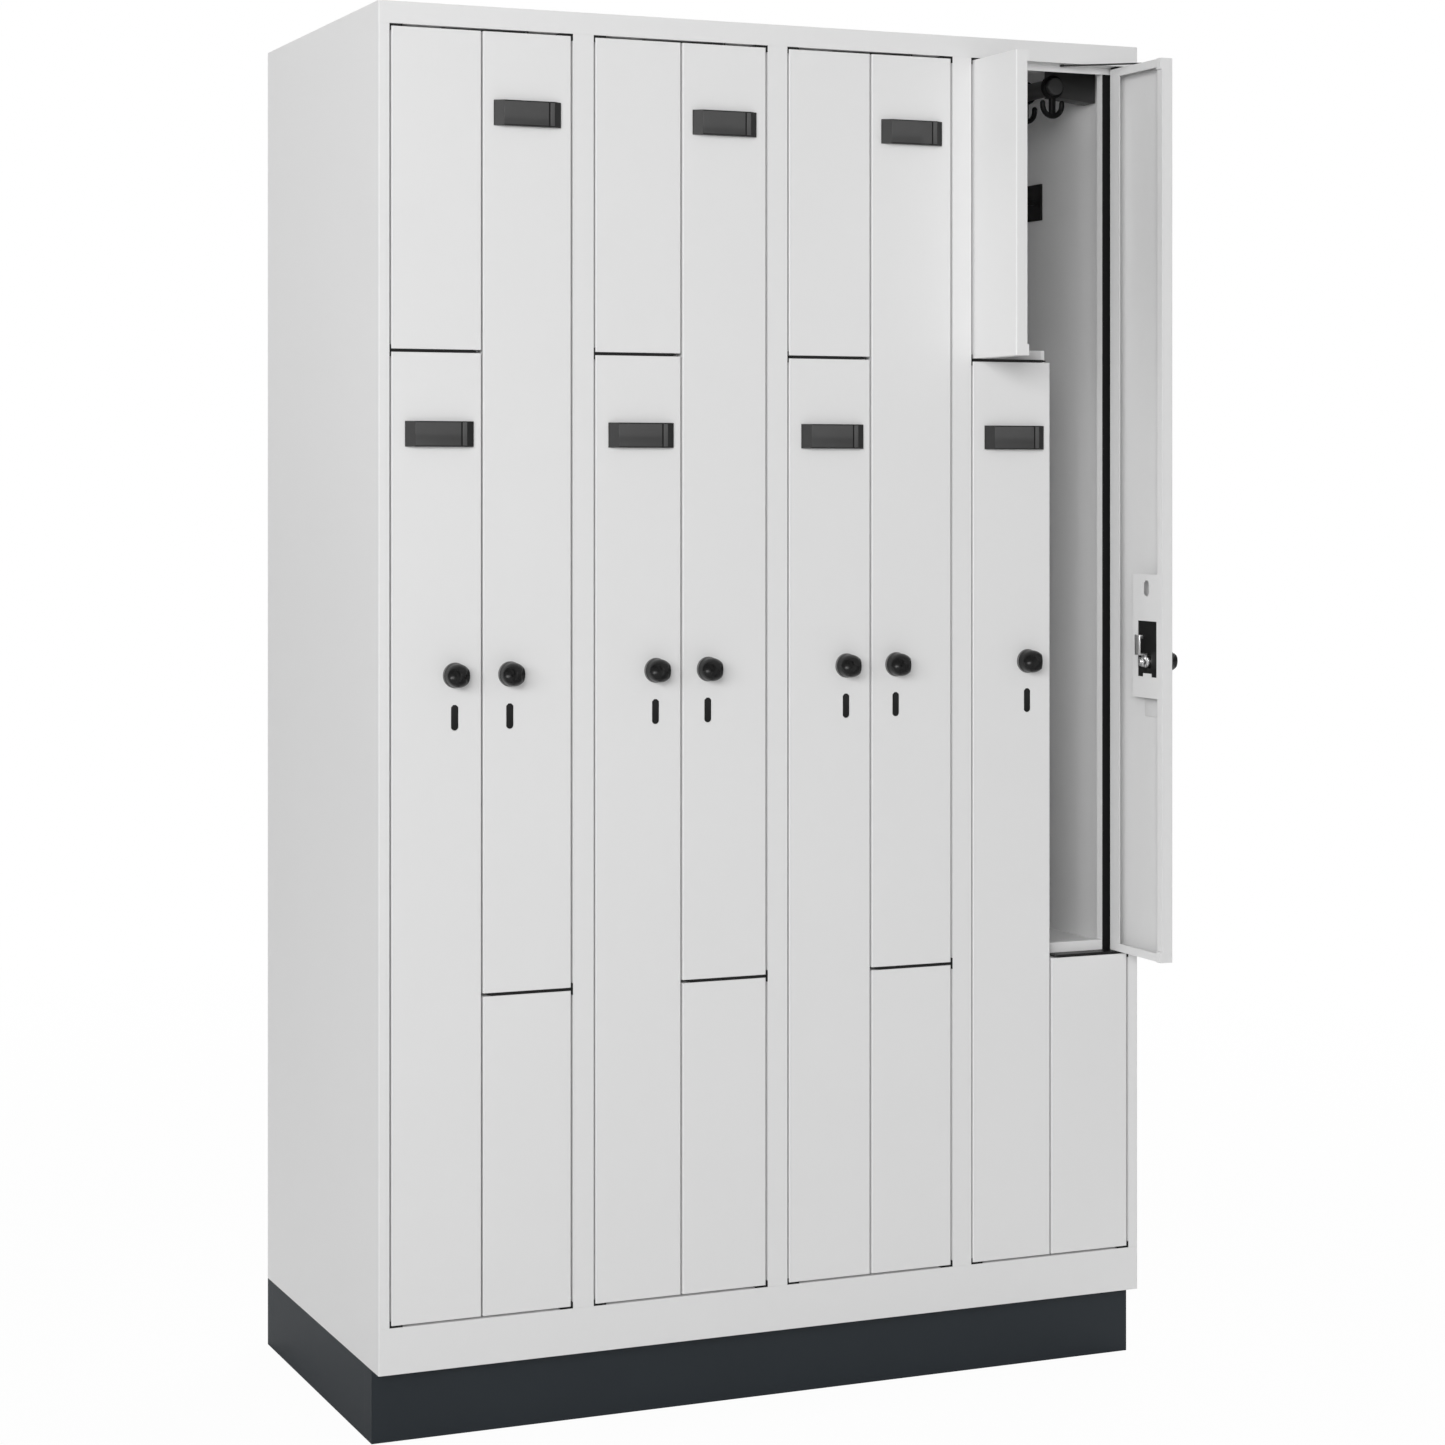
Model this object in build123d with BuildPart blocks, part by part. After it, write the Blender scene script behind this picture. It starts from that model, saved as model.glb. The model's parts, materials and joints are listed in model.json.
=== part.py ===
from build123d import *
from math import cos, pi, radians, sin, sqrt
import os

# Z-shaped locker: four bays side by side, each with two interlocking compartments.
# Millimetres, +Z up, front towards -Y, origin on the floor under the middle of the body.

# Overall sizes
bay_count = 4
bay_width = 300.0
body_depth = 500.0
body_height = 1850.0
plinth_height = 100.0
plinth_recess = 28.5
overrun = 5.0

# Sheet and frame sections
sheet = 1.5
thin_sheet = 1.2
side_edge_radius = 1.2
post_width = 31.0
top_rail_height = 30.0
bottom_rail_height = 63.0
stop_depth = 22.0
lip_width = 31.0
return_depth = 14.0
stop_height = 10.0
divider_front_width = 6.0
cross_rail_height = 33.0
floor_drop = 5.0
panel_return = 14.0
plinth_flange = 30.0

# Door leaves
leaf_thickness = 18.0
leaf_sheet = 1.0
side_gap = 3.0
middle_gap = 3.0
top_gap = 3.5
bottom_gap = 3.0
leaf_gap = 4.5
upper_gap_height = 1479.8
lower_gap_height = 603.2
hinge_inset = 8.0
hinge_setback = 7.5
edge_bevel = 1.0
hinge_lip = 24.0
free_lip = 12.0
end_lip = 12.0
tab_width = 10.0
tab_height = 16.0
tab_thickness = 3.0
open_angle = 90.0

# Hinge bushes
bush_length = 19.0
bush_clearance = 0.3
bush_setback = 0.5
pin_radius = 2.5
pin_sides = 6
pin_clearance = 0.05
pin_reach = 7.0
bush_leg_height = 6.0
bush_leg_width = 2.0
bush_leg_end = 0.2
blade_from_free_edge = 7.0
blade_taper = 6.0
blade_tip_height = 1.2

# Lock, knob and slot on each tall leaf
knob_height = 1039.8
knob_from_middle = 40.4
knob_radius = 16.3
knob_sides = 16
knob_flange_radius = 17.5
knob_flange_thickness = 3.0
knob_total_height = 35.0
dome_bands = 3
dome_angle = 72.0
scoop_radius = 13.0
scoop_sides = 10
scoop_from_ridge = 17.0
scoop_height = 30.0
scoop_length = 21.0
shaft_radius = 9.0
shaft_sides = 12
shaft_clearance = 0.05
cam_width = 12.0
cam_corner = 2.0
cam_thickness = 2.5
cam_reach = 39.5
cam_gap = 2.0
cam_root = 8.0
cam_step_height = 10.0
cam_step = 11.5
cam_tab_height = 5.5
cam_tab_depth = 4.5
nut_radius = 7.5
nut_thickness = 8.0
slot_below_knob = 57.7
slot_width = 10.8
slot_length = 35.0
lock_case_width = 50.0
lock_case_above_knob = 64.0
lock_case_below_slot = 24.0
lock_case_clearance = 0.3
lock_plate_width = 62.0
lock_plate_below_knob = 53.0
lock_plate_above_knob = 128.0
plate_window_width = 46.0
plate_window_shift = 2.0
plate_window_below_knob = 22.2
plate_window_above_knob = 59.3
plate_hole_width = 13.0
plate_hole_length = 23.0
plate_hole_above_knob = 107.0
slot_corner_share = 0.3
window_tab_width = 20.0
window_tab_height = 5.0
strike_height = 32.0

# Label holders
label_width = 98.6
label_height = 34.6
label_thickness = 9.0
lower_label_from_axis = 60.4
upper_label_from_axis = 57.6
label_drop = 110.3
label_edge = 2.5
label_slope = 12.0
label_groove = 1.0
label_groove_place = 20.0

# Seal strips on the hinge side stop lips
strip_width = 15.0
strip_thickness = 1.0

# Coat rails and hooks
rail_radius = 12.5
rail_sides = 8
rail_from_wall = 83.5
rail_drop = 50.5
rail_front = 88.0
bracket_depth = 29.0
bracket_below_rail = 19.5
bracket_above_rail = 35.0
bracket_rise = 7.0
bracket_front = 106.5
hook_ring_radius = 17.5
hook_clearance = 0.4
hook_thickness = 8.0
hook_stem_width = 9.0
hook_bow_radius = 20.5
hook_bow_width = 7.5
hook_bow_sides = 12
hook_bow_drop = 27.0
hook_tip = 4.5
hook_places = (98.5, 172.5)
wall_hook_front = 252.0
wall_hook_length = 38.0
wall_hook_height = 57.0
wall_hook_drop = 156.5
wall_hook_plate = 3.0
wall_hook_reach = 26.0
wall_hook_rib = 8.0

# Door stays on the upper tall leaves
stay_wire = 1.3
stay_wire_sides = 6
stay_roller_radius = 4.0
stay_roller_sides = 10
stay_roller_thickness = 3.0
stay_eye_radius = 3.0
stay_pin_radius = 1.5
stay_pin_length = 4.0
stay_from_axis = 57.5
stay_from_front = 3.0
stay_track_depth = 14.0
stay_length = 118.0
stay_rise = 1.75

# Values that follow from the sizes above
total_height = plinth_height + body_height
front = -body_depth / 2
back = body_depth / 2
side = bay_count * bay_width / 2
half_post = post_width / 2
opening_bottom = plinth_height + bottom_rail_height
opening_top = total_height - top_rail_height
leaf_width = (bay_width - post_width - 2 * side_gap - middle_gap) / 2
hinge_axis_x = half_post + side_gap + hinge_inset
hinge_axis_y = front + hinge_setback
lip_edge = half_post + lip_width
stop_y = front + stop_depth
stop_back = stop_y + return_depth
floor_height = opening_bottom - floor_drop
knob_x = bay_width / 2 - knob_from_middle - hinge_axis_x
leaf_front = -hinge_setback
leaf_back = leaf_thickness - hinge_setback
leaf_free = leaf_width - hinge_inset
stay_height = opening_top - stay_rise
slot_height = knob_height - slot_below_knob
low_gap_bottom = lower_gap_height - leaf_gap / 2
low_gap_top = lower_gap_height + leaf_gap / 2
high_gap_bottom = upper_gap_height - leaf_gap / 2
high_gap_top = upper_gap_height + leaf_gap / 2
leaf_bottom = opening_bottom + bottom_gap
leaf_top = opening_top - top_gap

os.makedirs("parts", exist_ok=True)


def save(part, name):
    """Label a finished piece and write it as one STEP file."""
    part.label = name
    export_step(part, "parts/" + name + ".step")


def bay_start(bay):
    """X of the left edge of a bay."""
    return -side + bay * bay_width


def block(x_range, y_range, z_range, mode=Mode.ADD):
    """A block between two corners, added to the part that is being built or cut out of it."""
    with Locations((x_range[0], y_range[0], z_range[0])):
        return Box(
            x_range[1] - x_range[0],
            y_range[1] - y_range[0],
            z_range[1] - z_range[0],
            align=(Align.MIN, Align.MIN, Align.MIN),
            mode=mode,
        )


def rectangle(x_range, y_range, mode=Mode.ADD):
    """A rectangle between two corners, added to the sketch that is being drawn or cut out of it."""
    with Locations((x_range[0], y_range[0])):
        return Rectangle(
            x_range[1] - x_range[0], y_range[1] - y_range[0], align=(Align.MIN, Align.MIN), mode=mode
        )


def slot_through(place, width, length, start, depth, mode=Mode.SUBTRACT):
    """An upright slot with bevelled ends, from a start towards the back."""
    with BuildSketch(Plane.XZ.offset(-start)) as slot:
        with Locations(place):
            Rectangle(width, length)
        chamfer(slot.vertices(), width * slot_corner_share)
    extrude(slot.sketch, amount=-depth, mode=mode)


# Plinth: folded channels under the body, set back at the front, with cross members below the partitions
def channel(x_range, y_range, web_x=None, web_y=None, ends=False):
    """A channel on edge: two flat flanges and one upright web, with closed ends where asked."""
    with BuildPart() as piece:
        block(x_range, y_range, (0, sheet))
        block(x_range, y_range, (plinth_height - sheet, plinth_height))
        block(web_x or x_range, web_y or y_range, (0, plinth_height))
        if ends:
            for end in ((x_range[0], x_range[0] + sheet), (x_range[1] - sheet, x_range[1])):
                block(end, y_range, (0, plinth_height))
    return piece.part


plinth_front = front + plinth_recess
inner_y = (plinth_front + plinth_flange, back - plinth_flange)
half_flange = plinth_flange / 2
plinth_list = [
    channel(
        (-side, side), (plinth_front, inner_y[0]), web_y=(plinth_front, plinth_front + sheet), ends=True
    ),
    channel((-side, side), (inner_y[1], back), web_y=(back - sheet, back), ends=True),
    channel((-side, -side + plinth_flange), inner_y, web_x=(-side, -side + sheet)),
    channel((side - plinth_flange, side), inner_y, web_x=(side - sheet, side)),
]
for number in range(1, bay_count):
    middle = bay_start(number)
    plinth_list.append(
        channel(
            (middle - half_flange, middle + half_flange),
            inner_y,
            web_x=(middle - half_flange, middle - half_flange + sheet),
        )
    )
plinth = Compound(children=plinth_list)
save(plinth, "plinth")

# Side panels: the outer walls, each with its front edge rounded
with BuildPart() as side_panels:
    for outer, inner in ((-side, -side + sheet), (side, side - sheet)):
        block(sorted((outer, inner)), (front, back), (plinth_height, total_height))
    front_edges = side_panels.edges().filter_by(Axis.Z).group_by(Axis.Y)[0].sort_by(Axis.X)
    fillet([front_edges[0], front_edges[-1]], side_edge_radius)
save(side_panels.part, "side_panels")

inner_side = side - sheet

# Back panel between the side panels
with BuildPart() as back_panel:
    block((-inner_side, inner_side), (back - sheet, back), (plinth_height, total_height))
save(back_panel.part, "back_panel")

# Top panel: a tray whose rims point down
with BuildPart() as top_panel:
    rail_back = front + sheet
    block((-inner_side, inner_side), (rail_back, back - sheet), (total_height - sheet, total_height))
    for rim in ((-inner_side, -inner_side + sheet), (inner_side - sheet, inner_side)):
        block(rim, (stop_back, back - sheet), (total_height - panel_return, total_height - sheet))
    block(
        (-inner_side, inner_side),
        (back - 2 * sheet, back - sheet),
        (total_height - panel_return, total_height - sheet),
    )
save(top_panel.part, "top_panel")

# Base panel: the floor of the lower compartments, on rims that stand on the plinth
base_list = []
for y_range, z_range in (
    ((stop_back, back - sheet), (floor_height - sheet, floor_height)),
    ((stop_back, stop_back + sheet), (plinth_height, floor_height - sheet)),
    ((back - 2 * sheet, back - sheet), (plinth_height, floor_height - sheet)),
):
    with BuildPart() as base_piece:
        block((-inner_side, inner_side), y_range, z_range)
    base_list.append(base_piece.part)
base_panel = Compound(children=base_list)
save(base_panel, "base_panel")

# Bay partitions: single sheets between the bays, behind the posts
with BuildPart() as bay_partitions:
    for number in range(1, bay_count):
        middle = bay_start(number)
        thickness = (middle - thin_sheet / 2, middle + thin_sheet / 2)
        block(thickness, (stop_back, back - 2 * sheet), (floor_height, total_height - panel_return))
        block(thickness, (front + sheet, stop_back), (opening_bottom, opening_top))
save(bay_partitions.part, "bay_partitions")

# Front posts: folded sections with a face between the leaves and a stop lip behind them
with BuildPart() as front_posts:
    for number in range(bay_count + 1):
        middle = bay_start(number)
        left = number > 0
        right = number < bay_count
        start = middle - half_post if left else -inner_side
        end = middle + half_post if right else inner_side
        with BuildSketch(Plane.XY.offset(opening_bottom)):
            rectangle((start, end), (front, front + sheet))
            for direction, used in ((-1, left), (1, right)):
                if used:
                    web = sorted((middle + direction * (half_post - sheet), middle + direction * half_post))
                    lip = sorted((middle + direction * (half_post - sheet), middle + direction * lip_edge))
                    fold = sorted((middle + direction * (lip_edge - sheet), middle + direction * lip_edge))
                    rectangle(web, (front, stop_y))
                    rectangle(lip, (stop_y, stop_y + sheet))
                    rectangle(fold, (stop_y, stop_back))
        extrude(amount=opening_top - opening_bottom)
save(front_posts.part, "front_posts")

# Front rails: top and bottom rails of the frame, and the cross rails behind the leaf gaps
with BuildPart() as front_rails:
    with BuildSketch(Plane.YZ.offset(-inner_side)):
        rectangle((front, front + sheet), (opening_top, total_height))
        rectangle((front, stop_y + sheet), (opening_top, opening_top + sheet))
        rectangle((front, front + sheet), (plinth_height, opening_bottom))
        rectangle((front, stop_back), (opening_bottom - sheet, opening_bottom))
        rectangle((front, stop_back), (plinth_height, plinth_height + sheet))
    extrude(amount=2 * inner_side)
    for number in range(bay_count):
        start = bay_start(number)
        left_edge = start + lip_edge
        right_edge = start + bay_width - lip_edge
        divider_left = start + (bay_width - divider_front_width) / 2
        divider_right = start + (bay_width + divider_front_width) / 2
        block((left_edge, right_edge), (stop_y, stop_y + sheet), (opening_top - stop_height, opening_top))
        block((left_edge, right_edge), (stop_y, stop_y + sheet), (opening_bottom, opening_bottom + stop_height))
        for span, middle_z in (
            ((left_edge, divider_left), upper_gap_height),
            ((divider_right, right_edge), lower_gap_height),
        ):
            low = middle_z - cross_rail_height / 2
            high = middle_z + cross_rail_height / 2
            block(span, (stop_y, stop_y + sheet), (low, high))
            block(span, (stop_y, stop_back), (low, low + sheet))
            block(span, (stop_y, stop_back), (high - sheet, high))
save(front_rails.part, "front_rails")

# Z partitions: an upright divider with a folded front edge, and a shelf on either side of it
upper_shelf = upper_gap_height
lower_shelf = lower_gap_height
divider_bottom = lower_gap_height - cross_rail_height / 2
divider_top = upper_gap_height + cross_rail_height / 2
z_list = []
for number in range(bay_count):
    start = bay_start(number)
    middle = start + bay_width / 2
    wall_left = start + (thin_sheet / 2 if number > 0 else sheet)
    wall_right = start + bay_width - (thin_sheet / 2 if number < bay_count - 1 else sheet)
    half_front = divider_front_width / 2
    with BuildPart() as divider:
        with BuildSketch(Plane.XY.offset(divider_bottom)):
            rectangle((middle - half_front, middle + half_front), (stop_y, stop_back))
            rectangle((middle - thin_sheet / 2, middle + thin_sheet / 2), (stop_back, back - sheet))
            with Locations((middle, (stop_y + stop_back) / 2)):
                Rectangle(
                    divider_front_width - 2 * thin_sheet, return_depth - 2 * thin_sheet, mode=Mode.SUBTRACT
                )
        extrude(amount=divider_top - divider_bottom)
        block(
            (middle - half_front - overrun, middle + half_front + overrun),
            (stop_y + thin_sheet, stop_back - thin_sheet),
            (knob_height - strike_height / 2, knob_height + strike_height / 2),
            mode=Mode.SUBTRACT,
        )
    z_list.append(divider.part)
    for span, height in (
        ((wall_left, middle - thin_sheet / 2), upper_shelf),
        ((middle + thin_sheet / 2, wall_right), lower_shelf),
    ):
        with BuildPart() as shelf:
            block(span, (stop_back, back - sheet), (height - thin_sheet / 2, height + thin_sheet / 2))
        z_list.append(shelf.part)
z_partitions = Compound(children=z_list)
save(z_partitions, "z_partitions")


# Hinge bushes: black corner pieces in the gaps, each with the pin that a leaf turns on
def bush(axis_x, direction, low, high, ways, blade):
    """A bush between two heights, with pins and legs up or down, and a blade along the gap where asked."""
    post_face = axis_x - direction * (hinge_inset + side_gap)
    with BuildPart() as piece:
        span = sorted((post_face, post_face + direction * bush_length))
        block(span, (front + bush_setback, front + leaf_thickness), (low, high))
        for way in ways:
            face_z = low if way < 0 else high
            with BuildSketch(Plane.XY.offset(face_z)):
                with Locations((axis_x, hinge_axis_y)):
                    RegularPolygon(pin_radius, pin_sides)
            extrude(amount=way * pin_reach)
            with BuildSketch(Plane.XY.offset(face_z)):
                with BuildLine():
                    Polyline(
                        (post_face, front + bush_setback),
                        (post_face + direction * bush_leg_width, front + bush_setback),
                        (post_face + direction * bush_leg_end, hinge_axis_y),
                        (post_face, hinge_axis_y),
                        close=True,
                    )
                make_face()
            extrude(amount=way * bush_leg_height)
        if blade:
            root = post_face + direction * bush_length
            tip = axis_x + direction * (leaf_free - blade_from_free_edge)
            shoulder = tip - direction * blade_taper
            middle_z = (low + high) / 2
            half_tip = blade_tip_height / 2
            with BuildSketch(Plane.XZ.offset(-(front + bush_setback))):
                with BuildLine():
                    Polyline(
                        (root, low),
                        (shoulder, low),
                        (tip, middle_z - half_tip),
                        (tip, middle_z + half_tip),
                        (shoulder, high),
                        (root, high),
                        close=True,
                    )
                make_face()
            extrude(amount=-(stop_depth - strip_thickness - bush_setback))
    return piece.part


bush_list = []
for number in range(bay_count):
    start = bay_start(number)
    for axis_x, direction, low_end, high_end in (
        (start + hinge_axis_x, 1, high_gap_bottom, high_gap_top),
        (start + bay_width - hinge_axis_x, -1, low_gap_bottom, low_gap_top),
    ):
        for low, high, ways, blade in (
            (opening_bottom, leaf_bottom - bush_clearance, (1,), False),
            (low_end + bush_clearance, high_end - bush_clearance, (-1, 1), True),
            (leaf_top + bush_clearance, opening_top, (-1,), False),
        ):
            bush_list.append(bush(axis_x, direction, low, high, ways, blade))
hinge_bushes = Compound(children=bush_list)
save(hinge_bushes, "hinge_bushes")

# Seal strips: thin black strips on the stop lips beside the hinges
with BuildPart() as seal_strips:
    for number in range(bay_count):
        start = bay_start(number)
        for edge, direction in ((start + lip_edge, -1), (start + bay_width - lip_edge, 1)):
            block(
                sorted((edge, edge + direction * strip_width)),
                (stop_y - strip_thickness, stop_y),
                (opening_bottom + stop_height, opening_top - stop_height),
            )
save(seal_strips.part, "seal_strips")


# Coat rails: a tube from the back wall to a bracket on the side wall
def rail_place(number, upper):
    """Centre of the rail, the wall that its bracket stands on and the way to that wall."""
    start = bay_start(number)
    if upper:
        wall = start + bay_width - (thin_sheet / 2 if number < bay_count - 1 else sheet)
        return start + bay_width - rail_from_wall, total_height - rail_drop, wall, 1
    wall = start + (thin_sheet / 2 if number > 0 else sheet)
    return start + rail_from_wall, upper_shelf - rail_drop, wall, -1


def half_side(sides):
    """The turn that puts flats of a regular polygon level and upright."""
    return 180 / sides


compartments = [(number, upper) for number in range(bay_count) for upper in (True, False)]
open_compartment = (bay_count - 1, True)

rail_list = []
for number, upper in compartments:
    rail_x, rail_z, wall, way = rail_place(number, upper)
    with BuildPart() as tube:
        with BuildSketch(Plane.XZ.offset(-(front + rail_front))):
            with Locations((rail_x, rail_z)):
                RegularPolygon(rail_radius, rail_sides, major_radius=False, rotation=half_side(rail_sides))
        extrude(amount=-(body_depth - sheet - rail_front))
    low = rail_z - bracket_below_rail
    high = rail_z + bracket_above_rail
    with BuildPart() as bracket:
        with BuildSketch(Plane.XZ.offset(-(front + bracket_front))):
            with BuildLine():
                Polyline(
                    (rail_x + way * rail_radius, low + bracket_rise),
                    (rail_x + way * rail_radius, high),
                    (wall, high),
                    (wall, low),
                    close=True,
                )
            make_face()
        extrude(amount=-bracket_depth)
    rail_list.append(tube.part)
    rail_list.append(bracket.part)
coat_rails = Compound(children=rail_list)
save(coat_rails, "coat_rails")


# Coat hooks: double hooks that slide on the rails, two in each compartment
def coat_hook(rail_x, rail_z, place):
    """A ring round the rail with a stem and an upturned bow below it, like an anchor."""
    bow_z = rail_z - hook_bow_drop
    bow = hook_bow_radius
    with BuildPart() as hook:
        with BuildSketch(Plane.XZ.offset(-(front + place - hook_thickness / 2))):
            with Locations((rail_x, bow_z)):
                RegularPolygon(bow, hook_bow_sides)
                RegularPolygon(bow - hook_bow_width, hook_bow_sides, mode=Mode.SUBTRACT)
            rectangle((rail_x - bow, rail_x + bow), (bow_z, bow_z + bow), mode=Mode.SUBTRACT)
            for tip in (rail_x - bow, rail_x + bow - hook_bow_width):
                rectangle((tip, tip + hook_bow_width), (bow_z, bow_z + hook_tip))
            rectangle(
                (rail_x - hook_stem_width / 2, rail_x + hook_stem_width / 2),
                (bow_z - bow + hook_bow_width / 2, rail_z),
            )
            with Locations((rail_x, rail_z)):
                RegularPolygon(
                    hook_ring_radius, rail_sides, major_radius=False, rotation=half_side(rail_sides)
                )
                RegularPolygon(
                    rail_radius + hook_clearance,
                    rail_sides,
                    major_radius=False,
                    rotation=half_side(rail_sides),
                    mode=Mode.SUBTRACT,
                )
        extrude(amount=-hook_thickness)
    return hook.part


stored = []
for number, upper in compartments:
    rail_x, rail_z, wall, way = rail_place(number, upper)
    if (number, upper) != open_compartment:
        for place in hook_places:
            stored.append(coat_hook(rail_x, rail_z, place))
stored_hooks = Compound(children=stored)
save(stored_hooks, "stored_hooks")

rail_x, rail_z, wall, way = rail_place(*open_compartment)
for name, place in zip(("front_hook", "rear_hook"), hook_places):
    save(coat_hook(rail_x, rail_z, place), name)

# Wall hooks: a plate on the side wall of each compartment with a short ribbed peg
with BuildPart() as wall_hooks:
    for number, upper in compartments:
        rail_x, rail_z, wall, way = rail_place(number, upper)
        centre_z = rail_z - wall_hook_drop
        start = front + wall_hook_front
        block(
            sorted((wall, wall - way * wall_hook_plate)),
            (start, start + wall_hook_length),
            (centre_z - wall_hook_height / 2, centre_z + wall_hook_height / 2),
        )
        peg_start = start + (wall_hook_length - wall_hook_rib) / 2
        block(
            sorted((wall, wall - way * wall_hook_reach)),
            (peg_start, peg_start + wall_hook_rib),
            (centre_z - wall_hook_rib / 2, centre_z + wall_hook_rib / 2),
        )
        block(
            sorted((wall - way * (wall_hook_reach - wall_hook_plate), wall - way * wall_hook_reach)),
            (peg_start, peg_start + wall_hook_rib),
            (centre_z - wall_hook_rib / 2, centre_z + wall_hook_rib),
        )
save(wall_hooks.part, "wall_hooks")


# Door leaves: each is drawn about its own hinge axis, with X towards its free edge,
# and turned over for the leaves that hang on the right
def leaf_x(hand, near, far):
    """A range across the leaf, measured from the hinge axis."""
    return sorted((hand * near, hand * far))


def make_leaf(hand, low, high, with_lock, with_stay):
    """A folded pan with lips all round, and the lock plate on a tall leaf."""
    inner_back = leaf_back - leaf_sheet
    with BuildPart() as leaf:
        block(leaf_x(hand, -hinge_inset, leaf_free), (leaf_front, leaf_back), (low, high))
        chamfer(leaf.edges().filter_by(Axis.Z).group_by(Axis.Y)[0], edge_bevel)
        block(
            leaf_x(hand, -hinge_inset + leaf_sheet, leaf_free - leaf_sheet),
            (leaf_front + leaf_sheet, inner_back),
            (low + leaf_sheet, high - leaf_sheet),
            mode=Mode.SUBTRACT,
        )
        block(
            leaf_x(hand, -hinge_inset + hinge_lip, leaf_free - free_lip),
            (inner_back - overrun, leaf_back + overrun),
            (low + end_lip, high - end_lip),
            mode=Mode.SUBTRACT,
        )
        for tab_low in (low, high - tab_height):
            block(
                leaf_x(hand, leaf_free - tab_width, leaf_free),
                (leaf_back, leaf_back + tab_thickness),
                (tab_low, tab_low + tab_height),
            )
        with BuildSketch(Plane.XY.offset(low - overrun)):
            RegularPolygon(pin_radius + pin_clearance, pin_sides, major_radius=False)
        extrude(amount=high - low + 2 * overrun, mode=Mode.SUBTRACT)
        if with_stay:
            with BuildSketch(Plane.XY.offset(high + overrun)):
                with Locations((hand * stay_from_axis, leaf_front + stay_from_front)):
                    RegularPolygon(stay_pin_radius + pin_clearance, pin_sides, major_radius=False)
            extrude(amount=-(leaf_sheet + 2 * overrun), mode=Mode.SUBTRACT)
        if with_lock:
            plate_far = leaf_free - free_lip + leaf_sheet
            block(
                leaf_x(hand, plate_far - lock_plate_width, plate_far),
                (inner_back, leaf_back),
                (knob_height - lock_plate_below_knob, knob_height + lock_plate_above_knob),
            )
            window_x = knob_x + plate_window_shift
            block(
                leaf_x(hand, window_x - plate_window_width / 2, window_x + plate_window_width / 2),
                (inner_back - overrun, leaf_back + overrun),
                (knob_height - plate_window_below_knob, knob_height + plate_window_above_knob),
                mode=Mode.SUBTRACT,
            )
            window_bottom = knob_height - plate_window_below_knob
            block(
                leaf_x(hand, window_x - window_tab_width / 2, window_x + window_tab_width / 2),
                (inner_back, leaf_back),
                (window_bottom, window_bottom + window_tab_height),
            )
            plate_hole = (hand * knob_x, knob_height + plate_hole_above_knob)
            slot_through(plate_hole, plate_hole_width, plate_hole_length, inner_back - overrun, 2 * overrun)
            slot_through(
                (hand * knob_x, slot_height), slot_width, slot_length, leaf_front - overrun, 2 * overrun
            )
            with BuildSketch(Plane.XZ.offset(-(leaf_front - overrun))):
                with Locations((hand * knob_x, knob_height)):
                    RegularPolygon(shaft_radius + shaft_clearance, shaft_sides, major_radius=False)
            extrude(amount=-2 * overrun, mode=Mode.SUBTRACT)
    return leaf.part


def make_lock_case(hand):
    """The black lock body inside a tall leaf, with the insert that fills its slot."""
    case_front = leaf_front + leaf_sheet
    with BuildPart() as case:
        block(
            leaf_x(hand, knob_x - lock_case_width / 2, knob_x + lock_case_width / 2),
            (case_front, leaf_back - leaf_sheet - lock_case_clearance),
            (slot_height - lock_case_below_slot, knob_height + lock_case_above_knob),
        )
        slot_through(
            (hand * knob_x, slot_height),
            slot_width - 2 * lock_case_clearance,
            slot_length - 2 * lock_case_clearance,
            leaf_front + lock_case_clearance,
            leaf_sheet - lock_case_clearance,
            mode=Mode.ADD,
        )
        with BuildSketch(Plane.XZ.offset(-(leaf_front - overrun))):
            with Locations((hand * knob_x, knob_height)):
                RegularPolygon(shaft_radius + shaft_clearance, shaft_sides, major_radius=False)
        extrude(amount=-(leaf_thickness + 2 * overrun), mode=Mode.SUBTRACT)
    return case.part


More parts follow.
